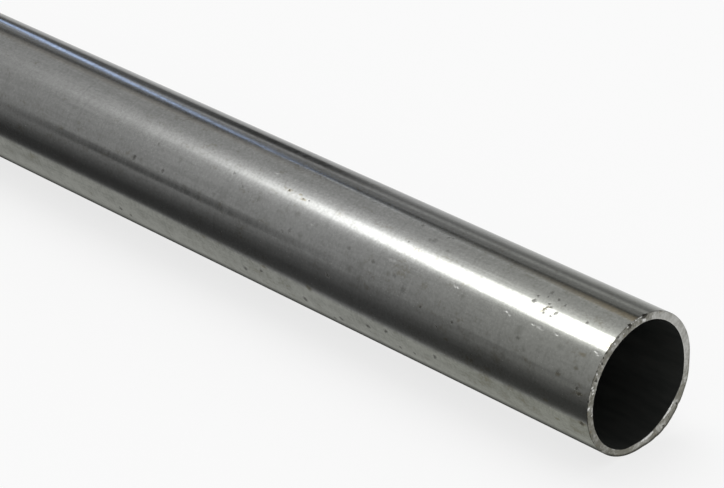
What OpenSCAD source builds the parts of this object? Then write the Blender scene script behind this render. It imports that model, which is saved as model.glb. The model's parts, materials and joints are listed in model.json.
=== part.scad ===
// Round steel tube: one cut length of bright, bare, cold-finished stock with a plain bore.
// It lies on its side with its axis along X. The origin is under the middle of its length,
// on the line where the tube touches the floor. Sizes are in millimetres.

/* [Tube] */
// Length of the cut piece
length = 1000; // [50:10:6000]
// Outside diameter
outer_d = 25; // [12:0.5:80]
// Thickness of the wall
wall = 1.5; // [0.8:0.1:4]

/* [Sawn ends] */
// Width of the filed edge round the outside of each end
outer_edge = 0.2; // [0.05:0.05:0.3]
// Width of the scraped edge round the mouth of the bore at each end
mouth_edge = 0.15; // [0.05:0.05:0.3]

/* [Hidden] */

// Flats that stand in for a full round on screen
$fn = 144;
outer_r = outer_d / 2;
bore_r = outer_r - wall;
// Bare bright steel, a slightly warm grey
steel_grey = [0.66, 0.66, 0.63];

// Corners of one sawn end of the wall, from the bore out to the outside: [radius, depth below the cut]
end_corners = [
    [bore_r, mouth_edge],
    [bore_r + mouth_edge, 0],
    [outer_r - outer_edge, 0],
    [outer_r, outer_edge],
];

// The wall cut along the axis: one sawn end at height 0, and its mirror image at the full length
module wall_section() {
    corners = len(end_corners);
    near_end = end_corners;
    far_end = [for (i = [corners - 1:-1:0]) [end_corners[i][0], length - end_corners[i][1]]];
    polygon(concat(near_end, far_end));
}

// The tube, turned from its wall section and laid on its side
module tube() {
    color(steel_grey)
        translate([-length / 2, 0, outer_r])
            rotate([0, 90, 0])
                rotate_extrude()
                    wall_section();
}

tube();
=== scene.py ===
import json
import math

import bpy
import numpy as np
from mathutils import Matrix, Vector


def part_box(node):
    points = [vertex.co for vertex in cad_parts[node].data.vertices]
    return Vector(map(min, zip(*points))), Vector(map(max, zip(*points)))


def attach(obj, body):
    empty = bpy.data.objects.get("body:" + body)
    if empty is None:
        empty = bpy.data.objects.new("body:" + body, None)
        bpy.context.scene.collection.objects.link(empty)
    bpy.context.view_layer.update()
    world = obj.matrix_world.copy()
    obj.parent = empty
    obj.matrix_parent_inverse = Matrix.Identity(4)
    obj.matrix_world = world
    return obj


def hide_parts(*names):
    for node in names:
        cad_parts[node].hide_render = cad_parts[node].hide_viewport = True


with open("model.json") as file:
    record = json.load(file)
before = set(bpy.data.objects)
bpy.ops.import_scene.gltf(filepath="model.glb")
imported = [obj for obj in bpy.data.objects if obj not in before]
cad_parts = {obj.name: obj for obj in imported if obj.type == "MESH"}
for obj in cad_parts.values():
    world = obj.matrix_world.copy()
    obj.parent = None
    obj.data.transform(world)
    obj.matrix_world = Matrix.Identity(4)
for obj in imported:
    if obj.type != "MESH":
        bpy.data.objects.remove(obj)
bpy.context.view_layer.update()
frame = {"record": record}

# The tube's own measures, as packed: it lies along X on the floor, and the end that the
# photograph shows is the one at +X.
tube_low, tube_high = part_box("tube")
half_length = (tube_high.x - tube_low.x) / 2
outer_r = (tube_high.z - tube_low.z) / 2
axis_z = tube_low.z + outer_r
bore = next(m for m in frame["record"]["mounts"] if m["name"] == "bore")
bore_r = bore["dims"]["r_mm"] / 1000

# The camera, at the photograph's viewing angle: half a metre from the near end, above it and
# to its side, with a long lens, so that the tube leaves the picture at the upper left.
camera_place = Vector((half_length + 0.28265, -0.3425, axis_z + 0.2556))
view_bearing = math.radians(135.27)
view_dip = math.radians(27.53)
camera_data = bpy.data.cameras.new("view")
camera_data.sensor_width = 36
camera_data.lens = 158.5
camera_data.clip_start = 0.05
camera_data.clip_end = 200
camera = bpy.data.objects.new("view", camera_data)
camera.location = camera_place
camera.rotation_euler = (math.pi / 2 - view_dip, 0, view_bearing - math.pi / 2)
bpy.context.scene.collection.objects.link(camera)
bpy.context.scene.camera = camera
bpy.context.scene.view_settings.view_transform = "Standard"

# The studio: a plain pale floor under even light, a white surrounding, and one soft sun-like
# lamp from the upper left that gives the tube its shadow on the floor.
ambient_level = 0.62
sun_level = 1.05
sun_spread = math.radians(50)
sun_turn = (math.radians(-12), math.radians(-22), 0)
floor_colour = (0.90, 0.90, 0.90, 1)
floor_reach = 60
floor_lines = 5
floor_whiten = 0.74


class Wire:
    """A number that varies over a surface: one output of a node. Python's operators on it add
    Math nodes, also with a plain number on either side."""

    def __init__(self, finish, socket):
        self.finish = finish
        self.socket = socket

    def maths(self, operation, *others):
        inputs = dict(enumerate((self,) + others))
        return self.finish.node("ShaderNodeMath", {"operation": operation}, inputs)

    def __add__(self, other):
        return self.maths("ADD", other)

    __radd__ = __add__

    def __mul__(self, other):
        return self.maths("MULTIPLY", other)

    __rmul__ = __mul__

    def __sub__(self, other):
        return self.maths("SUBTRACT", other)

    def __rsub__(self, other):
        return self * -1 + other

    def most(self, other):
        return self.maths("MAXIMUM", other)

    def step(self, low, high):
        """0 below low, 1 above high, and a smooth rise between them; low may be above high."""
        settings = {"interpolation_type": "SMOOTHSTEP"}
        inputs = {"Value": self, "From Min": low, "From Max": high}
        return self.finish.node("ShaderNodeMapRange", settings, inputs)


class Finish:
    """A material or world that is put together from nodes."""

    def __init__(self, owner):
        owner.use_nodes = True
        self.owner = owner
        self.tree = owner.node_tree
        self.tree.nodes.clear()

    def node(self, kind, settings=None, inputs=None, output=0):
        """Adds a node, sets its settings, then fills its sockets with numbers, colours or
        Wires, and gives back one of its outputs as a Wire."""
        node = self.tree.nodes.new(kind)
        for name, value in (settings or {}).items():
            setattr(node, name, value)
        for name, value in (inputs or {}).items():
            if isinstance(value, Wire):
                self.tree.links.new(value.socket, node.inputs[name])
            else:
                node.inputs[name].default_value = value
        return Wire(self, node.outputs[output])

    def blend(self, share, first, second, way="MIX"):
        """The colour first, with that share of second blended in."""
        settings = {"data_type": "RGBA", "blend_type": way}
        return self.node("ShaderNodeMix", settings, {0: share, 6: first, 7: second}, 2)

    def seen(self):
        """1 for what the camera sees, by itself, in a reflection or through glass, else 0."""
        rays = self.node("ShaderNodeLightPath")
        outputs = rays.socket.node.outputs
        straight = Wire(self, outputs["Is Camera Ray"])
        mirrored = Wire(self, outputs["Is Glossy Ray"])
        through = Wire(self, outputs["Is Transmission Ray"])
        return straight.most(mirrored).most(through)

    def end(self, kind, shader):
        """Closes the tree with its output node."""
        last = self.tree.nodes.new(kind)
        self.tree.links.new(shader.socket, last.inputs["Surface"])


world = bpy.data.worlds.new("studio")
bpy.context.scene.world = world
air = Finish(world)
even = air.node("ShaderNodeBackground", {}, {"Color": (1, 1, 1, 1), "Strength": ambient_level})
white = air.node("ShaderNodeBackground", {}, {"Color": (1, 1, 1, 1), "Strength": 1})
surrounding = air.node("ShaderNodeMixShader", {}, {0: air.seen(), 1: even, 2: white})
air.end("ShaderNodeOutputWorld", surrounding)

sun_data = bpy.data.lights.new("soft_sun", "SUN")
sun_data.energy = sun_level
sun_data.angle = sun_spread
sun = bpy.data.objects.new("soft_sun", sun_data)
sun.rotation_euler = sun_turn
sun.visible_glossy = False
bpy.context.scene.collection.objects.link(sun)


def grid_mesh(name, points, closed_rows=False, closed_columns=False):
    """A mesh through a grid of points, an array of (rows, columns, 3). Face (i, j) joins the
    points (i, j), (i, j + 1), (i + 1, j + 1), (i + 1, j), and a closed way joins its last
    line of points to its first."""
    rows, columns = points.shape[:2]
    i = np.arange(rows if closed_rows else rows - 1)[:, None]
    j = np.arange(columns if closed_columns else columns - 1)[None, :]
    after_i = (i + 1) % rows
    after_j = (j + 1) % columns
    corners = [i * columns + j, i * columns + after_j, after_i * columns + after_j]
    corners.append(after_i * columns + j)
    faces = np.stack(corners, axis=-1).reshape(-1, 4)
    mesh = bpy.data.meshes.new(name)
    mesh.from_pydata(points.reshape(-1, 3), [], faces)
    mesh.update()
    piece = bpy.data.objects.new(name, mesh)
    bpy.context.scene.collection.objects.link(piece)
    return piece


floor_line = np.linspace(-floor_reach, floor_reach, floor_lines)
floor_y, floor_x = np.meshgrid(floor_line, floor_line, indexing="ij")
floor = grid_mesh("floor", np.stack([floor_x, floor_y, floor_x * 0], axis=-1))
pale = Finish(bpy.data.materials.new("pale_floor"))
matt = pale.node("ShaderNodeBsdfDiffuse", {}, {"Color": floor_colour})
glow = pale.node("ShaderNodeEmission", {}, {"Color": (1, 1, 1, 1), "Strength": 1})
whitened = pale.node("ShaderNodeMixShader", {}, {0: pale.seen() * floor_whiten, 1: matt, 2: glow})
pale.end("ShaderNodeOutputMaterial", whitened)
floor.data.materials.append(pale.owner)

# Cards round the tube, which only show as reflections in the steel: a grey room with a dark
# rail on its back wall, a pale ceiling, and a table top, with the tube's own shadow painted in
# along it, and darker ground before it.
# Bearings go round the tube's axis: 0 is behind the tube, 90 overhead and 180 in front.
card_reach = 5.0
card_lift = 0.0004
card_lines = 24
room = 1.6
before_wall = 0.98 * room
before_ceiling = 0.96 * room
before_window = 0.94 * room
wall_near = -0.95
wall_far = -1.15


def card(name, points, levels, tint=(1, 1, 1), clear=False):
    """A card through a grid of points, hidden from everything but reflections, that glows in
    the tint by the level at each point. A clear card adds its glow to what is behind it."""
    piece = grid_mesh(name, points)
    glow_layer = piece.data.attributes.new("glow", "FLOAT", "POINT")
    glow_layer.data.foreach_set("value", levels.astype(np.float32).ravel())
    look = Finish(bpy.data.materials.new(name))
    level = look.node("ShaderNodeAttribute", {"attribute_name": "glow"}, {}, 2)
    colour = look.node("ShaderNodeVectorMath", {"operation": "SCALE"}, {0: tint, "Scale": level})
    shine = look.node("ShaderNodeEmission", {}, {"Color": colour, "Strength": 1})
    if clear:
        through = look.node("ShaderNodeBsdfTransparent", {}, {"Color": (1, 1, 1, 1)})
        shine = look.node("ShaderNodeAddShader", {}, {0: shine, 1: through})
    look.end("ShaderNodeOutputMaterial", shine)
    look.owner.cycles.emission_sampling = "NONE"
    piece.data.materials.append(look.owner)
    piece.visible_camera = False
    piece.visible_diffuse = False
    piece.visible_shadow = False
    piece.visible_transmission = False
    piece.visible_volume_scatter = False


def wall_card(name, distance, stops, tint=(1, 1, 1), far_share=1):
    """A strip of a cylinder round the tube's axis through stops of (bearing, level), or of
    (bearing, level, lowest x, highest x), with even changes between them. Over the stretch
    from wall_near to wall_far its levels fall to far_share of that."""
    ends = (-card_reach, card_reach)
    full = np.array([stop if len(stop) == 4 else stop + ends for stop in stops])
    between = np.linspace(full[0, 0], full[-1, 0], card_lines)
    bearing = np.unique(np.concatenate([full[:, 0], between]))
    level, low, high = (np.interp(bearing, full[:, 0], full[:, k])[:, None] for k in (1, 2, 3))
    x = np.concatenate([low, high], axis=1)
    share = np.ones((1, 2))
    if far_share != 1:
        x = np.concatenate([low, wall_far + 0 * low, wall_near + 0 * low, high], axis=1)
        share = np.array([[far_share, far_share, 1, 1]])
    turn = np.radians(bearing)[:, None] + 0 * x
    y = distance * np.cos(turn)
    z = axis_z + distance * np.sin(turn)
    card(name, np.stack([x, y, z], axis=-1), level * share, tint)


def ground_card(name, stops, far_share=1, drift=0, lift=card_lift, tint=(1, 1, 1)):
    """A flat strip just over the floor, through (distance in front, level) stops. Over the
    stretch of floor from ground_near to ground_far its levels fall to far_share of that, and
    its stops drift away from the tube."""
    far = np.array([1, 1, 0, 0])[None, :]
    y = -np.array([place for place, level in stops])[:, None] - drift * far
    x = np.array([-card_reach, ground_far, ground_near, card_reach])[None, :] + 0 * y
    level = np.array([level for place, level in stops])[:, None] * (1 + (far_share - 1) * far)
    card(name, np.stack([x, y, tube_low.z + lift + 0 * x], axis=-1), level, tint)


wall_low = ((-0.5, 0.41), (4, 0.325), (9, 0.22), (15, 0.165), (19, 0.17))
wall_middle = ((19, 0.24), (25, 0.345), (28, 0.32), (30, 0.19), (39, 0.20))
wall_top = ((39, 0.16), (41, 0.065), (46, 0.070))
wall_ledge = ((46, 0.16), (51, 0.26), (54, 0.35))
ceiling_behind = ((54, 0.385), (70, 0.40), (79, 0.42), (92, 0.38))
ceiling_before = ((92, 0.38), (110, 0.375), (127, 0.385), (137, 0.375), (150, 0.34))
wall_before = ((150, 0.34), (163, 0.295), (172, 0.265), (180.5, 0.25))
wall_card("back_wall_low", room, wall_low)
wall_card("back_wall_middle", room, wall_middle)
wall_card("back_wall_top", room, wall_top)
wall_card("back_wall_ledge", room, wall_ledge)
wall_card("ceiling_back", room, ceiling_behind, far_share=0.87)
wall_card("ceiling_front", room, ceiling_before, far_share=0.87)
wall_card("front_wall", room, wall_before, far_share=0.93)
# Darker and brighter strips stand before the walls, each with its own lowest and highest x.
rail = (-1.02, -0.86)
rail_stops = (
    (2, 0.12, *rail),
    (5, 0.05, *rail),
    (10, 0.03, *rail),
    (19, 0.035, *rail),
    (23, 0.10, *rail),
)
wall_card("back_dark_rail", before_wall, rail_stops)
shelf = (-card_reach, -1.02)
shelf_stops = ((0, 0.26, *shelf), (4, 0.11, *shelf), (16, 0.085, *shelf), (22, 0.12, *shelf))
wall_card("back_dark_shelf", before_wall, shelf_stops)
bench = (-1.22, -0.90)
bench_stops = (
    (165.5, 0.20, *bench),
    (168, 0.12, *bench),
    (171, 0.08, *bench),
    (176, 0.05, *bench),
    (179, 0.10, *bench),
)
wall_card("front_dark_bench", before_wall, bench_stops)
far_line = (
    (14, 0.55, -1.34, -1.225),
    (19, 1.34, -1.26, -1.157),
    (27, 1.35, -1.17, -1.073),
    (33, 1.1, -1.085, -1.001),
    (39, 0.85, -0.985, -0.922),
    (45, 0.75, -0.880, -0.833),
)
window_blue = (0.54, 0.68, 1.0)
wall_card("window_far", before_window, far_line, window_blue)
near_line = (
    (45, 0.80, -0.880, -0.830),
    (51, 0.75, -0.780, -0.735),
    (54, 0.55, -0.70, -0.66),
    (57, 0.60, -0.62, -0.50),
)
window_pale = (0.96, 0.98, 1.0)
wall_card("window_near", before_window, near_line, window_pale)
by_end = (-0.605, -0.3)
ledge_stops = (
    (45.5, 0.15, *by_end),
    (48, 0.185, *by_end),
    (50.5, 0.245, *by_end),
    (53, 0.31, *by_end),
    (57, 0.37, -0.55, -0.3),
)
ledge_brown = (1.0, 0.86, 0.67)
wall_card("brown_ledge", before_ceiling, ledge_stops, ledge_brown)
beyond = (-card_reach, -0.90)
beyond_stops = ((46, 0.16, *beyond), (51, 0.26, *beyond), (54, 0.35, *beyond), (57, 0.385, *beyond))
beyond_brown = (1.0, 0.96, 0.91)
wall_card("brown_ledge_far", before_ceiling, beyond_stops, beyond_brown)

ground_near = half_length - 0.06
ground_far = half_length - 0.12
# Painted shadow: the first stops, nearest the tube, are dark for the tube's own shadow on the sheet
sheet_and_shadow_stops = (
    (0.0050, 0.05),
    (0.0068, 0.06),
    (0.0074, 0.14),
    (0.0080, 0.21),
    (0.0088, 0.335),
    (0.0215, 0.345),
)
sheet_tint = (0.99, 1.0, 0.935)
ground_card("pale_sheet_and_shadow", sheet_and_shadow_stops, far_share=0.97, tint=sheet_tint)
front_stops = (
    (0.0170, 0.31),
    (0.0180, 0.19),
    (0.0190, 0.10),
    (0.0205, 0.065),
    (0.024, 0.055),
    (0.030, 0.055),
    (0.050, 0.12),
    (0.09, 0.19),
    (0.2, 0.25),
    (room, 0.25),
)
front_drift = 0.0026
front_lift = 2 * card_lift
ground_card("front_ground", front_stops, far_share=0.72, drift=front_drift, lift=front_lift)
back_stops = (
    (-room, 0.41),
    (-0.4, 0.43),
    (-0.15, 0.48),
    (-0.08, 0.59),
    (-0.056, 0.66),
    (-0.03, 0.75),
)
ground_card("back_ground", back_stops, far_share=0.95)

# A strip of light high before the near end and square to the tube: one flat card, which only
# the filed and torn edges of that end reflect.
strip_level = 2.4
strip_x = half_length + 1.45
strip_reach = 0.55
strip_low = 0.42
strip_high = 0.58
strip_y = np.array([[-strip_reach, strip_reach], [-strip_reach, strip_reach]])
strip_z = axis_z + np.array([[strip_low, strip_low], [strip_high, strip_high]])
strip_points = np.stack([strip_x + 0 * strip_y, strip_y, strip_z], axis=-1)
card("end_strip", strip_points, strip_level + 0 * strip_y)

# The lamp: a bright wedge over the tube that comes to a point along it, with a wide soft glow
# round it and two faint halos, one behind and one before it. Its reflection is the white
# streak along the steel.
lamp_bearing = math.radians(108)
lamp_distance = 0.72
lamp_x = 0.023
lamp_reach = 0.7
lamp_lines = (141, 71)
wedge_level = 1.6
wedge_length = 0.25
wedge_front = 0.170
wedge_back = 0.155
front_taper = 1.5
back_taper = 0.4
front_blur = 0.010
back_blur = 0.025
tip_blur = 0.03
glow_level = 1.42
glow_length = 0.218
glow_width = 0.172
glow_turn = 0.23
# Each halo's level, rise of its middle line, width and length
back_halo = (0.16, 0.28, 0.12, 0.3)
front_halo = (0.11, -0.165, 0.05, 0.2)


def eased(value, low, high):
    """0 below low, 1 above high, and a smooth rise between them."""
    share = ((value - low) / (high - low)).clip(0, 1)
    return share * share * (3 - 2 * share)


def lamp_glow(rise, along):
    """The lamp's level at each rise across it and place along it: a wedge between a front and
    a back line that both close in towards the tips, blurred more there, plus a bell turned a
    little for the soft glow and one bell for each halo."""
    body = (1 - (along / wedge_length) ** 2).clip(0, 1)
    front_line = -wedge_front * body**front_taper
    back_line = wedge_back * body**back_taper
    front_soft = front_blur + tip_blur * (1 - body)
    back_soft = back_blur + tip_blur * (1 - body)
    wedge = eased(rise, front_line - front_soft, front_line + front_soft)
    wedge = wedge * eased(-rise, -back_line - back_soft, -back_line + back_soft) * body * wedge_level
    turned = (rise + glow_turn * along) / glow_width
    glow_sum = wedge + glow_level * np.exp(-((along / glow_length) ** 2) - turned**2)
    for level, middle, width, length in (back_halo, front_halo):
        halo = np.exp(-((along / length) ** 2) - ((rise - middle) / width) ** 2)
        glow_sum = glow_sum + level * halo
    return glow_sum


lamp_rise = np.linspace(-lamp_reach, lamp_reach, lamp_lines[0])
lamp_along = np.linspace(-lamp_reach, lamp_reach, lamp_lines[1])
rise, along = np.meshgrid(lamp_rise, lamp_along, indexing="ij")
middle_y = lamp_distance * math.cos(lamp_bearing)
middle_z = axis_z + lamp_distance * math.sin(lamp_bearing)
lamp_y = middle_y + rise * math.sin(lamp_bearing)
lamp_z = middle_z - rise * math.cos(lamp_bearing)
lamp_points = np.stack([lamp_x + along, lamp_y, lamp_z], axis=-1)
card("soft_lamp", lamp_points, lamp_glow(rise, along), clear=True)

# The tube: one piece of thin-walled bright steel, drawn smooth outside, sawn square at both
# ends and filed lightly, so its edges are round by a fraction of a millimetre and nicked. The
# saw left a thin burr round the lower back of the near end.
turns = 900
wall_steps = 30
bore_steps = 9
round_steps = 7
face_steps = 9
# Rows of faces from the wall's last line to the outer round, and from the mouth's round to
# the bore's first line
root_rows = 3
mouth_rows = 2
# How far the wall's and bore's own lines stay from the ends, how far the guard lines stay
# from each round, and how far inside the solid's end the cut lies
hold = 0.0014
guard = 0.00012
recess = 0.00004
# How gently the wall rises to the burr, how many waves the torn face has, and how many steps
# round the tube each way a line through stops is smoothed over
root_slope = 0.8
tear_waves = 70
smooth_steps = 4

turn = np.linspace(0, 2 * np.pi, turns, endpoint=False)[None, :]


def uneven(seed, waves, size):
    """A closed uneven line round the tube: a sum of sines whose whole numbers of waves go up
    to that many, with seeded heights and shifts, scaled to the size."""
    draw = np.random.default_rng(seed)
    count = np.arange(2, waves)[:, None]
    height = draw.normal(size=count.shape) / np.sqrt(count)
    shift = draw.uniform(0, 2 * np.pi, size=count.shape)
    line = (height * np.sin(count * turn + shift)).sum(0)
    return (line / np.abs(line).max() * size)[None, :]


def bells(bearings, heights, width):
    """A line round the tube that is 0 but for a bell of that height at each bearing."""
    line = 0 * turn
    for bearing, height in zip(bearings, heights):
        away = (turn - math.radians(bearing) + np.pi) % (2 * np.pi) - np.pi
        line = line + height * np.exp(-((away * outer_r / width) ** 2))
    return line


def torn(seed, size):
    """The saw's torn surface over one end, as a height for each share of the way from the
    outside to the bore and each bearing: a sum of slanted waves of seeded heights."""
    draw = np.random.default_rng(seed)
    share = np.linspace(0, 1, face_steps)[:, None, None]
    count = draw.integers(15, 200, size=tear_waves)[None, None, :]
    slant = draw.uniform(-14, 14, size=tear_waves)[None, None, :]
    shift = draw.uniform(0, 2 * np.pi, size=tear_waves)[None, None, :]
    waves = np.sin(count * turn[:, :, None] + slant * share + shift)
    return waves.sum(-1) / np.sqrt(tear_waves / 2) * size


def sawn_end(edge, mouth, opening, burr, depth, surface):
    """The section of one end, from the outside wall to the bore, as depths below the cut and
    radii: a slope out to the burr's height, a quarter round of radius edge, a straight torn
    face and a quarter round of radius mouth that ends on the opening's own radius, with a
    line beside each round that keeps the wall's shading straight."""
    q = np.linspace(0, np.pi / 2, round_steps)[:, None]
    share = np.linspace(0, 1, face_steps)[1:-1, None]
    out = outer_r + burr - edge
    inner = opening + mouth
    depths = [edge + 2 * guard + root_slope * burr, edge + guard, edge * (1 - np.sin(q)), surface[1:-1]]
    depths += [mouth * (1 - np.cos(q)), mouth + guard]
    radii = [outer_r + 0 * edge, out + edge, out + edge * np.cos(q), out + share * (inner - out)]
    radii += [inner - mouth * np.sin(q), opening]
    lines = np.concatenate(depths) + depth
    return lines.clip(0, None), np.concatenate(radii)


# The saw tore the upper front of the near end most, and its lower back a little
rough_side = np.exp(-((turn - math.radians(140)) / math.radians(45)) ** 2)
lower_side = np.exp(-((turn - math.radians(300)) / math.radians(28)) ** 2)
# Nicks in the near end's outer edge: bearing in degrees, and depth in mm
nicks = (
    (69, 0.12), (88.5, 0.24), (105, 0.18), (118, 0.06), (126, 0.08), (141, 0.09), (155.5, 0.06),
    (170, 0.06), (292, 0.15), (302, 0.12), (322, 0.20),
)
# How far the burr and the scraped mouth stand outside the true circles: bearing, and mm
burr_stops = (
    (0, 0), (10, 0.07), (20, 0.08), (35, 0.02), (45, 0), (277, 0), (285, 0.22), (292, 0.48),
    (298, 0.66), (304, 0.72), (312, 0.66), (322, 0.56), (332, 0.46), (341, 0.36), (349, 0.20),
    (356, 0.03), (360, 0),
)
mouth_stops = (
    (0, 0.10), (30, 0.06), (60, 0.06), (75, 0.11), (90, 0.07), (105, -0.03), (135, -0.02),
    (165, 0.02), (180, 0.18), (210, 0.21), (240, 0.26), (255, 0.25), (262, 0.12), (270, 0.02),
    (285, 0.05), (300, 0.03), (315, 0.06), (322, 0.14), (330, 0.27), (337, 0.37), (345, 0.33),
    (352, 0.20), (360, 0.10),
)


def by_bearing(stops):
    """A line round the tube through stops of (bearing in degrees, value), with even changes
    between them and its corners smoothed over a few degrees."""
    bearings, values = zip(*stops)
    line = np.interp(np.degrees(turn), bearings, values)
    steps = range(-smooth_steps, smooth_steps + 1)
    return np.mean([np.roll(line, step, axis=1) for step in steps], axis=0)


nick_bearings = [bearing for bearing, depth in nicks]
nick_depths = [depth / 1000 for bearing, depth in nicks]
nick_width = 0.00034
edge_radius = 0.00008
edge_uneven = 0.00003
edge_least = 0.00004
mouth_least = 0.00003
near_edge = edge_radius + uneven(3, 150, edge_uneven) * (1 + rough_side) + edge_uneven * rough_side
near_edge = near_edge + bells(nick_bearings, nick_depths, nick_width)
near_edge = near_edge.clip(edge_least, None)
near_mouth = (edge_radius + uneven(4, 110, 0.00004)).clip(mouth_least, None)
near_opening = bore_r + by_bearing(mouth_stops) / 1000 + uneven(9, 60, 0.00003)
# The burr keeps inside the solid's box, 5 thousandths of a millimetre off it, and is uneven
# only where it stands out more than burr_least
box_gap = 0.000005
burr_least = 0.0001
box_room = outer_r / np.maximum(abs(np.cos(turn)), abs(np.sin(turn))) - outer_r - box_gap
near_burr = by_bearing(burr_stops) / 1000
near_burr = near_burr + uneven(13, 70, 0.00005) * (near_burr > burr_least)
near_burr = np.minimum(near_burr.clip(0, None), box_room.clip(0, None))
# Small teeth that the saw left standing on the face
tooth_bearings = (80, 96, 101, 111, 122, 130, 150, 162.5, 175.5, 185.5)
tooth_heights = (0.00004,) * len(tooth_bearings)
teeth = bells(tooth_bearings, tooth_heights, 0.00022)
near_torn = torn(11, 0.000005) * (1 + 4 * rough_side + 2 * lower_side)
near_cut = recess + uneven(5, 12, 0.00002) - teeth
near_depth, near_radius = sawn_end(near_edge, near_mouth, near_opening, near_burr, near_cut, near_torn)

# The far end is hidden in the photograph: it is filed a little more, with nicks of its own
far_edge_radius = 0.00014
far_edge_least = 0.00006
far_mouth_radius = 0.00010
far_nicks = bells((40, 75, 205), (0.0003, 0.0002, 0.0003), 0.0004)
far_edge = (far_edge_radius + uneven(6, 150, 0.00006) + far_nicks).clip(far_edge_least, None)
far_mouth = (far_mouth_radius + uneven(7, 110, 0.00005)).clip(mouth_least, None)
far_opening = bore_r + uneven(10, 60, 0.00004)
far_cut = recess + uneven(8, 12, 0.00002)
far_torn = torn(12, 0.000018)
far_depth, far_radius = sawn_end(far_edge, far_mouth, far_opening, 0 * turn, far_cut, far_torn)

flat = np.ones_like(turn)
wall_line = np.linspace(-half_length + hold, half_length - hold, wall_steps + 1)[:, None] * flat
bore_line = np.linspace(half_length - hold, -half_length + hold, bore_steps + 1)[:, None] * flat
rows_x = [wall_line, half_length - near_depth, bore_line, (far_depth - half_length)[::-1]]
rows_r = [outer_r + 0 * wall_line, near_radius, bore_r + 0 * bore_line, far_radius[::-1]]
x = np.concatenate(rows_x)
r = np.concatenate(rows_r)
points = np.stack([x, r * np.cos(turn), axis_z + r * np.sin(turn)], axis=-1)
tube = grid_mesh("steel_tube", points, closed_rows=True, closed_columns=True)
tube.data.shade_smooth()

# How worn each point is: 1 in the middle of a rounded edge, 0 on the flats. How grimy and
# shaded it is: stops of (bearing, share) of grime round the near end, plus painted shade from
# the rim stops on its outer edge round the lower side and back, and the same turned round for
# the far end.
arc = np.sin(2 * np.linspace(0, np.pi / 2, round_steps))
end_wear = np.concatenate([[0, 0], arc, np.zeros(face_steps - 2), arc, [0]])
wear = np.concatenate([np.zeros(wall_steps + 1), end_wear, np.zeros(bore_steps + 1), end_wear])
grime_stops = (
    (0, 0.32), (45, 0.14), (70, 0.28), (80, 0.55), (90, 0.85), (105, 1.05), (140, 0.75), (165, 1.0),
    (195, 1.15), (225, 1.0), (270, 1.08), (285, 1.05), (300, 0.98), (335, 0.90), (348, 0.65),
    (360, 0.32),
)
# Painted shade: more darkening on the outer edge round the lower side and back, by bearing
rim_shade_stops = (
    (0, 0.30), (40, 0.10), (60, 0.05), (226, 0.10), (240, 0.95), (290, 1.0), (300, 0.85),
    (345, 0.60), (360, 0.30),
)
near_grime_and_shade = by_bearing(grime_stops) + 0 * near_depth
rim_start = root_rows - 1
rim_end = root_rows + round_steps
# Painted shade: the rim stops darken the outer edge round the lower side and back
near_grime_and_shade[rim_start:rim_end] += by_bearing(rim_shade_stops)
near_grime_and_shade[rim_end] += by_bearing(rim_shade_stops)[0] / 2
far_grime_and_shade = np.roll(near_grime_and_shade, turns // 3, axis=1)[::-1]
end_lines = len(end_wear)
grime_and_shade = np.zeros_like(x)
grime_and_shade[wall_steps + 1 : wall_steps + 1 + end_lines] = near_grime_and_shade
grime_and_shade[-end_lines:] = far_grime_and_shade
for name, share in (("wear", wear[:, None] + 0 * x), ("grime_and_shade", grime_and_shade)):
    layer = tube.data.attributes.new(name, "FLOAT", "POINT")
    layer.data.foreach_set("value", share.astype(np.float32).ravel())

# The bright outside: bare cold-drawn steel, half mirror, with long drawing marks, a faint
# mottle, small dark rust pits, grey smudges, brown specks, a few dents with a painted glint,
# and the brown tint that damp air leaves.
steel_grey = (0.645, 0.650, 0.636, 1)
steel_dull = (0.465, 0.470, 0.456, 1)
film_tint = (0.995, 1.0, 0.950, 1)
rust_dark = (0.030, 0.027, 0.020, 1)
rust_tint = (0.33, 0.29, 0.19, 1)
smudge_grey = (0.19, 0.19, 0.155, 1)
# Painted glint: near white, lighter than bare steel, blended into the dents
painted_dent_glint = (0.92, 0.92, 0.90, 1)
steel_rough = 0.140
rough_least = 0.08
# The bearing that faces the camera
facing = 143.3
# Marks that the photograph shows: mm back from the near end, degrees up from the line that
# faces the camera, and radius in mm. Soft pits are faint, streak pits lie in the white
# streak, and deep pits are the darkest.
soft_pits = (
    (46.5, 43.8, 0.48), (42.0, 34.8, 0.85), (42.8, 33.5, 0.60), (40.5, 43.0, 0.52),
    (39.8, 44.8, 0.42), (38.3, 31.3, 0.40), (46.0, 24.8, 0.38), (50.1, -1.6, 0.66),
    (56.1, 0.0, 0.54), (44.8, -4.5, 0.60), (42.1, -11.3, 0.95), (87.0, 15.0, 0.38),
    (106.0, 10.7, 0.44), (69.6, -7.7, 0.60), (71.2, -10.5, 0.50), (83.6, 8.2, 0.44),
    (16.7, -7.3, 0.50), (7.1, -17.9, 0.56),
)
streak_pits = (
    (17.5, 28.3, 0.36), (17.5, 23.5, 0.62), (16.0, 36.3, 0.48), (13.8, 32.8, 0.42),
    (15.8, 31.0, 0.30), (14.0, 24.5, 0.48), (14.8, 19.8, 0.42), (14.5, 17.3, 0.36),
    (12.5, 21.3, 0.58), (13.0, 17.8, 0.46), (12.0, 30.8, 0.30), (6.4, 25.4, 0.42),
    (14.7, 26.5, 0.36), (14.6, 23.2, 0.40), (14.6, 21.6, 0.36), (74.3, 21.6, 0.34),
    (70.4, 20.3, 0.38), (69.2, 20.8, 0.28),
)
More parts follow.
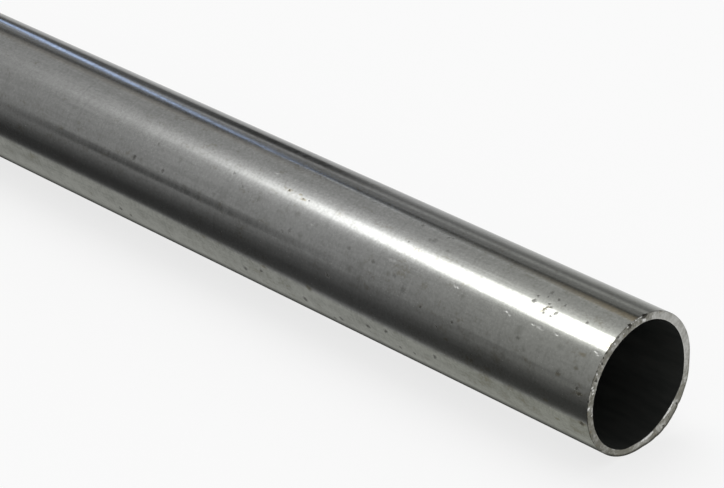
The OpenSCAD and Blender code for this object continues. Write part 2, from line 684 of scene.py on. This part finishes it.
deep_pits = (
    (65.6, -63.0, 0.90), (57.1, -66.7, 0.84), (80.4, -61.3, 0.76), (75.8, -53.5, 0.64),
    (49.9, -57.6, 0.80), (45.4, -53.0, 0.66), (34.0, -55.0, 0.66), (113.8, -63.0, 0.74),
    (59.2, -71.5, 0.66), (42.9, -65.5, 0.56), (39.4, -64.5, 0.48), (111.4, -66.0, 0.60),
    (109.9, -7.3, 0.76), (102.2, -7.3, 0.58), (1.3, -49.5, 0.64), (37.6, -18.3, 0.44),
    (30.3, -17.9, 0.46), (58.9, -27.5, 0.58), (33.4, -26.2, 0.52), (2.7, -22.6, 0.50),
    (2.1, -26.2, 0.58),
)
smudges = (
    (52.3, -9.0, 1.10), (54.4, -15.0, 0.90), (51.9, -18.3, 1.00), (46.1, -4.5, 0.70),
    (30.0, 3.1, 0.80), (17.1, -2.0, 1.20), (16.7, -7.3, 0.90), (15.0, -13.0, 0.80),
    (8.4, -0.1, 0.80), (7.0, -17.0, 1.00), (6.0, -16.6, 0.60), (3.9, -8.6, 0.80),
    (33.6, 24.7, 0.50), (108.0, -7.0, 0.80), (78.9, 5.0, 0.90), (67.0, -7.7, 0.70),
    (69.6, 6.9, 1.00), (88.9, -7.3, 0.60), (99.4, 6.3, 0.80), (28.7, -19.6, 0.60),
    (63.4, -47.6, 0.80), (18.5, -24.0, 0.80), (96.0, -12.0, 1.10),
)
specks = (
    (3.8, 1.8, 0.55), (2.0, -26.0, 0.46), (4.0, -9.0, 0.34), (7.0, -19.0, 0.34), (1.3, -49.5, 0.60),
    (7.0, -58.0, 0.40), (0.4, 17.8, 0.42), (0.4, 14.8, 0.36), (14.8, 20.9, 0.40),
    (15.1, 18.2, 0.36), (14.3, 23.8, 0.30), (31.0, -33.0, 0.36), (63.5, -46.5, 0.50),
    (75.0, -47.5, 0.46), (9.0, -43.5, 0.40), (74.0, 21.8, 0.44), (70.3, 20.0, 0.44),
    (71.5, 22.2, 0.30),
)
# Dents, pressed in by the bump and also given a painted glint in their colour
glint_dents = (
    (20.8, 6.8, 0.38), (20.0, 6.0, 0.30), (13.8, 7.0, 0.40), (13.0, 6.0, 0.28), (10.0, 7.3, 0.32),
    (15.0, 7.0, 0.30), (1.6, 7.8, 0.40), (1.2, 6.4, 0.30), (46.9, 5.2, 0.40), (46.0, 5.8, 0.44),
    (32.2, 8.4, 0.44), (65.5, 4.8, 0.34), (79.0, 30.0, 0.36),
)

steel = Finish(bpy.data.materials.new("bright_steel"))


def spot_of(finish):
    """The piece's own coordinates, from one node for the whole material."""
    if not hasattr(finish, "spot"):
        finish.spot = finish.node("ShaderNodeTexCoord", {}, {}, 3)
    return finish.spot


def noise(finish, scale, detail=3.0, rough=0.5):
    """Cloudy noise about 0, from -0.5 to 0.5, of that many lumps to a metre along each axis."""
    settings = {"vector_type": "POINT"}
    spread = finish.node("ShaderNodeMapping", settings, {"Vector": spot_of(finish), "Scale": scale})
    inputs = {"Vector": spread, "Scale": 1.0, "Detail": detail, "Roughness": rough}
    return finish.node("ShaderNodeTexNoise", {}, inputs) - 0.5


# Fine and broad drawing marks along the tube, roller marks and faint hoops round it, and
# grain, mottle and cloud, which run nearly alike every way
drawn_fine = noise(steel, (45, 2400, 2400))
drawn_broad = noise(steel, (9, 420, 420))
rolled = noise(steel, (1500, 110, 110))
grain = noise(steel, (2000, 2000, 2000), 3.0, 0.6)
mottle = noise(steel, (300, 460, 460), 5.0, 0.62)
cloud = noise(steel, (26, 60, 60))
hoops = noise(steel, (700, 45, 45), 2.0).step(0.08, 0.26)


def ragged_spot(finish, scale, size):
    """The piece's own coordinates, shifted by cloudy noise of up to half that size each way."""
    inputs = {"Vector": spot_of(finish), "Scale": scale, "Detail": 4.0}
    wander = finish.node("ShaderNodeTexNoise", {}, inputs, 1)
    middle = (0.5, 0.5, 0.5)
    about = finish.node("ShaderNodeVectorMath", {"operation": "SUBTRACT"}, {0: wander, 1: middle})
    shift = finish.node("ShaderNodeVectorMath", {"operation": "SCALE"}, {0: about, "Scale": size})
    return finish.node("ShaderNodeVectorMath", {"operation": "ADD"}, {0: spot_of(finish), 1: shift})


ragged = ragged_spot(steel, 1600.0, 0.0009)
stretch = 0.45
squeeze = {0: ragged, 1: (stretch, 1, 1)}
drawn_out = steel.node("ShaderNodeVectorMath", {"operation": "MULTIPLY"}, squeeze)


def on_wall(back, up, size):
    """The place and the radius of a mark on the outside, in metres."""
    bearing = math.radians(facing - up)
    y = outer_r * math.cos(bearing)
    z = axis_z + outer_r * math.sin(bearing)
    return (half_length - back / 1000, y, z), size / 1000


def on_long_wall(back, up, size):
    """The same with its x times stretch, for marks that are drawn out along the tube."""
    (place_x, place_y, place_z), radius = on_wall(back, up, size)
    return (place_x * stretch, place_y, place_z), radius


def marked(finish, places, from_spot, soft):
    """How deep in any of the marks a point is, from 0 outside to 1 in a mark's middle. A soft
    mark fades out over more of its radius."""
    whole = None
    settings = {"operation": "DISTANCE"}
    for place, size in places:
        away = finish.node("ShaderNodeVectorMath", settings, {0: from_spot, 1: place}, 1)
        mark = away.step(size, size * (1 - soft))
        whole = mark if whole is None else whole.most(mark)
    return whole


# Loose pits, which the photograph doesn't place: one small spot in some cells of a Voronoi
# pattern, in patches
cells = {"Vector": ragged, "Scale": 330.0, "Randomness": 1.0}
cell_away = steel.node("ShaderNodeTexVoronoi", {}, cells, 0)
cell_colour = steel.node("ShaderNodeTexVoronoi", {}, cells, 1)
cell_draw = steel.node("ShaderNodeSeparateColor", {}, {"Color": cell_colour})
patchy = noise(steel, (60, 120, 120), 2.0).step(-0.02, 0.18)
loose_pit = (cell_away + 0.05 + cell_draw * 0.25).step(0.20, 0.08) * patchy
soft_pit = marked(steel, [on_wall(*mark) for mark in soft_pits], ragged, 0.75)
streak_pit = marked(steel, [on_wall(*mark) for mark in streak_pits], ragged, 0.85)
deep_pit = marked(steel, [on_wall(*mark) for mark in deep_pits], ragged, 0.75)
pit = (soft_pit * 0.50).most(loose_pit * 0.45).most(streak_pit * 0.78).most(deep_pit * 0.84)
smudge = marked(steel, [on_wall(*mark) for mark in smudges], ragged, 0.95)
speck = marked(steel, [on_long_wall(*mark) for mark in specks], drawn_out, 0.7)
glint_dent = marked(steel, [on_long_wall(*mark) for mark in glint_dents], drawn_out, 0.95)

# Where marks gather: the last 22 mm of each end, a film over the last 60 mm, and the underside
lengthways = steel.node("ShaderNodeSeparateXYZ", {}, {0: spot_of(steel)})
upwards = Wire(steel, lengthways.socket.node.outputs[2])
from_middle = lengthways.maths("ABSOLUTE")
near_end = from_middle.step(half_length - 0.022, half_length - 0.001)
film = from_middle.step(half_length - 0.060, half_length - 0.005)
low = upwards.step(0.0115, 0.0085)
patch = noise(steel, (45, 80, 80)).step(-0.15, 0.25)
crossed = (drawn_fine * 0.9 + rolled * 0.6) * patch
tone = grain * 1.1 + crossed + drawn_broad * 0.8 + mottle * (0.70 + low * 1.3) + cloud * 0.6
tone = tone + hoops * 0.17
shade = steel.blend((tone + 0.5).step(0, 1), steel_grey, steel_dull)
shade = steel.blend(film, shade, film_tint, "MULTIPLY")
stain = mottle * 1.4 + grain * 0.8 + cloud * 0.8 + near_end * 0.12 + low * 0.05
stain = stain.step(0.15, 0.57) * 0.52
shade = steel.blend(stain.most(speck * 0.60), shade, rust_tint)
shade = steel.blend(smudge * 0.32, shade, smudge_grey)
# Painted glint: the dents' colour is lightened towards near white
shade = steel.blend(glint_dent * 0.45, shade, painted_dent_glint)
shade = steel.blend(pit * 0.92, shade, rust_dark)
shine = rolled * 0.15 + grain * 0.04 + drawn_fine * 0.02 + mottle * 0.04 + cloud * 0.04 + steel_rough
rough = shine.most(rough_least) + pit * 0.10 + speck * 0.06
height = drawn_fine * 2.0e-6 + drawn_broad * 14e-6 + mottle * 2.5e-6 + grain * 0.9e-6 + rolled * 1.2e-6
height = height - pit * 10e-6 - glint_dent * 15e-6
bump = steel.node("ShaderNodeBump", {}, {"Height": height, "Strength": 1.0, "Distance": 1.0})
inputs = {"Base Color": shade, "Metallic": 1 - pit * 0.4, "Roughness": rough, "Normal": bump}
metal = steel.node("ShaderNodeBsdfPrincipled", {}, inputs)
steel.end("ShaderNodeOutputMaterial", metal)

# The sawn ends: the same steel cut across, duller and mottled, with the saw's fine lines, a
# brown grime in the low places, painted shade that darkens the outer edge round the lower side
# and back, dark nicks in the edge and torn spots that shine, with a painted glint.
cut_clean = (0.56, 0.56, 0.535, 1)
cut_dull = (0.36, 0.355, 0.325, 1)
cut_grime_and_shade = (0.165, 0.160, 0.130, 1)
cut_brown = (0.20, 0.165, 0.10, 1)
# Painted glint: near white, lighter than the cut steel
painted_cut_glint = (0.88, 0.88, 0.86, 1)
# Dark of the nicks, and of the painted shade on the lower outer edge
nick_and_shade_dark = (0.035, 0.033, 0.026, 1)
# Marks that the photograph shows: bearing in degrees, radius in mm and size in mm
face_nicks = (
    (85.5, 12.38, 0.36), (87, 12.27, 0.50), (88.8, 12.22, 0.50), (90, 12.20, 0.38),
    (103.3, 12.20, 0.30), (104.3, 12.06, 0.34), (104.5, 12.32, 0.28), (107, 11.81, 0.22),
    (118, 12.32, 0.20), (118, 12.17, 0.20), (133, 12.48, 0.24), (137, 12.33, 0.22),
    (141, 12.11, 0.28), (141.5, 11.85, 0.22), (148, 12.48, 0.20), (155, 11.83, 0.26),
    (155.5, 11.58, 0.20), (163, 12.42, 0.20), (172, 12.46, 0.24), (302, 12.28, 0.26),
    (310, 12.17, 0.18), (322, 12.29, 0.32),
)
brown_spots = (
    (67, 12.45, 0.34), (69.5, 12.39, 0.36), (95, 11.44, 0.34), (99, 11.34, 0.30),
    (112, 11.36, 0.36), (127, 12.47, 0.36), (129.5, 12.33, 0.30), (146, 11.33, 0.26),
    (182, 12.45, 0.36), (200, 12.22, 0.40), (216, 12.34, 0.30), (248, 12.07, 0.30),
    (292, 12.19, 0.40), (330, 12.12, 0.26),
)
# Spots with a painted glint: raised, smoother, and lightened towards near white
glint_spots = (
    (78, 11.65, 0.24), (87, 11.50, 0.40), (89, 11.60, 0.30), (92, 12.46, 0.24), (94.5, 12.48, 0.26),
    (97, 12.46, 0.28), (100, 12.46, 0.28), (102, 12.48, 0.24), (106.5, 12.48, 0.26),
    (112, 11.81, 0.20), (123, 11.82, 0.24), (150, 12.18, 0.26), (161, 12.12, 0.30),
    (163, 11.82, 0.26), (166, 11.60, 0.24), (178, 12.20, 0.26), (178.5, 12.40, 0.24),
    (185.5, 11.50, 0.22), (276.5, 11.20, 0.28), (278.7, 11.22, 0.36), (281.4, 11.20, 0.44),
    (283.5, 11.24, 0.40), (285.6, 11.20, 0.48), (288, 11.20, 0.44), (290.2, 11.24, 0.30),
    (306.5, 11.20, 0.34), (308.6, 11.20, 0.44), (311.2, 11.18, 0.46), (313, 11.22, 0.40),
    (315.6, 11.18, 0.46), (318.4, 11.20, 0.36), (321, 11.26, 0.28),
)
depth_share = 0.3
cut_rough_least = 0.12


def on_face(bearing, radius, size):
    """The place and the size of a mark on the near end's face, in metres, with its x times
    depth_share, so that it reaches into the edges."""
    y = radius / 1000 * math.cos(math.radians(bearing))
    z = axis_z + radius / 1000 * math.sin(math.radians(bearing))
    return ((half_length - recess) * depth_share, y, z), size / 1000


sawn = Finish(bpy.data.materials.new("sawn_steel"))
tooth = noise(sawn, (1500, 1500, 1500), 5.0, 0.65)
blotch = noise(sawn, (420, 420, 420))
saw_lines = noise(sawn, (100, 4200, 900), 2.0)
rubbed = sawn.node("ShaderNodeAttribute", {"attribute_name": "wear"}, {}, 2)
grimy_and_shaded = sawn.node("ShaderNodeAttribute", {"attribute_name": "grime_and_shade"}, {}, 2)
squeeze = {0: ragged_spot(sawn, 2400.0, 0.0007), 1: (depth_share, 1, 1)}
torn_spot = sawn.node("ShaderNodeVectorMath", {"operation": "MULTIPLY"}, squeeze)
face_nick = marked(sawn, [on_face(*mark) for mark in face_nicks], torn_spot, 0.5)
brown_spot = marked(sawn, [on_face(*mark) for mark in brown_spots], torn_spot, 0.9)
glint_spot = marked(sawn, [on_face(*mark) for mark in glint_spots], torn_spot, 0.6)
busy = grimy_and_shaded * 1.2 + 0.5
cut_tone = ((tooth * 1.8 + blotch * 1.2) * busy + 0.40 - rubbed * 0.30).step(0, 1)
# Grime, and on the outer edge round the lower side and back, painted shade
grime_and_shade_share = ((tooth * 1.6 + blotch * 2.0) * grimy_and_shaded + grimy_and_shaded * 0.80 - rubbed * 0.15).step(0, 1)
cut_shade = sawn.blend(cut_tone, cut_clean, cut_dull)
cut_shade = sawn.blend(grime_and_shade_share * 0.9, cut_shade, cut_grime_and_shade)
cut_shade = sawn.blend(brown_spot * 0.6, cut_shade, cut_brown)
# Painted shade: nearly black where the grime and shade share runs high, mostly on the outer edge round
# the lower side and back, with some caked grime elsewhere
caked_grime_and_shade = (grimy_and_shaded + tooth * 0.7 - 1.2).step(0, 0.7)
cut_shade = sawn.blend(caked_grime_and_shade * 0.85, cut_shade, nick_and_shade_dark)
# Painted glint: the spots' colour is lightened towards near white
cut_shade = sawn.blend(glint_spot * 0.66, cut_shade, painted_cut_glint)
cut_shade = sawn.blend(face_nick * 0.9, cut_shade, nick_and_shade_dark)
cut_rough = tooth * 0.30 + blotch * 0.15 + 0.42 - rubbed * 0.20 - glint_spot * 0.15
cut_height = tooth * 12e-6 * busy + saw_lines * 3e-6 - face_nick * 60e-6 + glint_spot * 25e-6
cut_bump = sawn.node("ShaderNodeBump", {}, {"Height": cut_height, "Strength": 1.0, "Distance": 1.0})
inputs = {"Base Color": cut_shade, "Metallic": 1.0, "Normal": cut_bump}
inputs["Roughness"] = cut_rough.most(cut_rough_least)
sawn.end("ShaderNodeOutputMaterial", sawn.node("ShaderNodeBsdfPrincipled", {}, inputs))

# The bore: the same steel in a dull, very dark colour, with faint lines along it.
skin_dark = (0.030, 0.034, 0.032, 1)
skin_pale = (0.056, 0.058, 0.053, 1)
dull = Finish(bpy.data.materials.new("dark_bore"))
skin = noise(dull, (110, 700, 700), 4.0, 0.6)
skin_lines = noise(dull, (12, 1300, 1300), 2.0)
skin_tone = (skin * 1.3 + skin_lines * 0.3 + 0.5).step(0, 1)
skin_colour = dull.blend(skin_tone, skin_dark, skin_pale)
skin_bump = dull.node("ShaderNodeBump", {}, {"Height": skin * 8e-6, "Strength": 1.0, "Distance": 1.0})
inputs = {"Base Color": skin_colour, "Metallic": 0.5, "Normal": skin_bump}
inputs["Roughness"] = skin * 0.2 + 0.55
dull.end("ShaderNodeOutputMaterial", dull.node("ShaderNodeBsdfPrincipled", {}, inputs))

# Which look each row of faces has: the outside, the near end, the bore, the far end and the
# outside again. The closing row joins the last line of points to the first.
for finish in (steel, sawn, dull):
    tube.data.materials.append(finish.owner)
end_faces = 2 * (round_steps - 1) + face_steps - 1
looks = (
    (0, wall_steps + root_rows),
    (1, end_faces),
    (2, bore_steps + 2 * mouth_rows),
    (1, end_faces),
    (0, root_rows),
)
row_looks = np.repeat([look for look, rows in looks], [rows for look, rows in looks])
tube.data.polygons.foreach_set("material_index", np.repeat(row_looks, turns).astype(np.int32))

# The tube's map for baked textures, as flat strips one above the other: the outside in three
# lengths, the bore in three that are squeezed round, and the two ends along their rims.
section = np.stack([x.mean(1), r.mean(1)], axis=1)
row_lengths = np.linalg.norm(np.roll(section, -1, axis=0) - section, axis=1)
lines = len(row_lengths)
round_share = np.stack([np.arange(turns), np.arange(turns) + 1], axis=1) / turns
round_corners = round_share[:, [0, 1, 1, 0]][None, :, :]
places = np.zeros((lines, turns, 4, 2))
end_start = wall_steps + root_rows
bore_start = end_start + end_faces
far_start = bore_start + bore_steps + 2 * mouth_rows
outside_rows = np.arange(-root_rows, end_start)
bore_rows = np.arange(bore_start, far_start)
wall_cuts = (wall_steps // 3 + root_rows, 2 * (wall_steps // 3) + root_rows)
bore_cuts = (5, 8)
rims = (np.arange(end_start, bore_start), np.arange(far_start, lines - root_rows))
wall_strip = 0.2340
bore_strip = 0.0820
rim_strip = 0.0160
strips = [(rows, wall_strip, False) for rows in np.split(outside_rows, wall_cuts)]
strips += [(rows, bore_strip, False) for rows in np.split(bore_rows, bore_cuts)]
strips += [(rows, rim_strip, True) for rows in rims]
strip_gap = (1 - sum(height for rows, height, rim in strips)) / (len(strips) + 1)
low_edge = strip_gap
for rows, height, rim in strips:
    passed = np.concatenate([[0], np.cumsum(row_lengths[rows])])
    passed = passed / passed[-1]
    corners = np.stack([passed[:-1], passed[:-1], passed[1:], passed[1:]], axis=1)[:, None, :]
    corners = corners + 0 * round_corners
    around = round_corners + 0 * corners
    across, upright = (around, corners) if rim else (corners, around)
    places[rows, :, :, 0] = strip_gap + across * (1 - 2 * strip_gap)
    places[rows, :, :, 1] = low_edge + upright * height
    low_edge = low_edge + height + strip_gap
own_map = tube.data.uv_layers.new(name="OFBake")
own_map.uv.foreach_set("vector", places.astype(np.float32).ravel())

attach(tube, "root")
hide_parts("tube")
